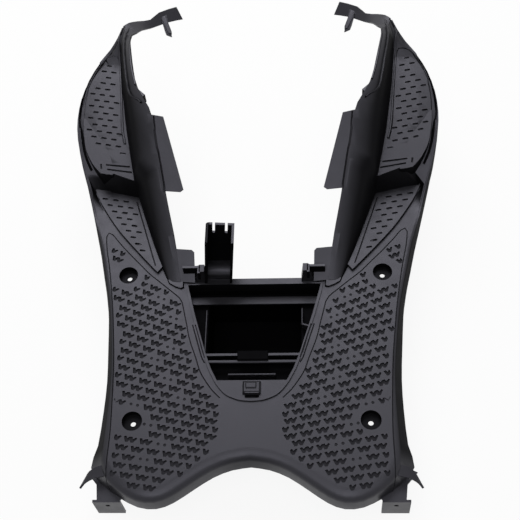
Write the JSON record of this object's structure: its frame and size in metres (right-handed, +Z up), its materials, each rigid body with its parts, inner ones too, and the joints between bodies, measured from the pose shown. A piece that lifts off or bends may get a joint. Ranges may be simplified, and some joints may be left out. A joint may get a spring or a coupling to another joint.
{
  "type": "scooter floorboard",
  "caption": "Moulded scooter floorboard with treaded foot wells, raised toe pads, tunnel walls, hooked arms, a battery opening with its box and a cable tower.",
  "frame": {"origin": "middle of the two rear floor screw holes, on the seats of their recesses", "axes": "+Y forwards, towards the front shield; +Z up; +X across the part, to the side away from the cable tower"},
  "size_m": [0.477, 0.6814, 0.201],
  "materials": {
    "floorboard": "fine spark-eroded texture, satin on the rolled edges"
  },
  "bodies": {
    "root": {"floorboard": "floorboard"}
  },
  "joints": []
}
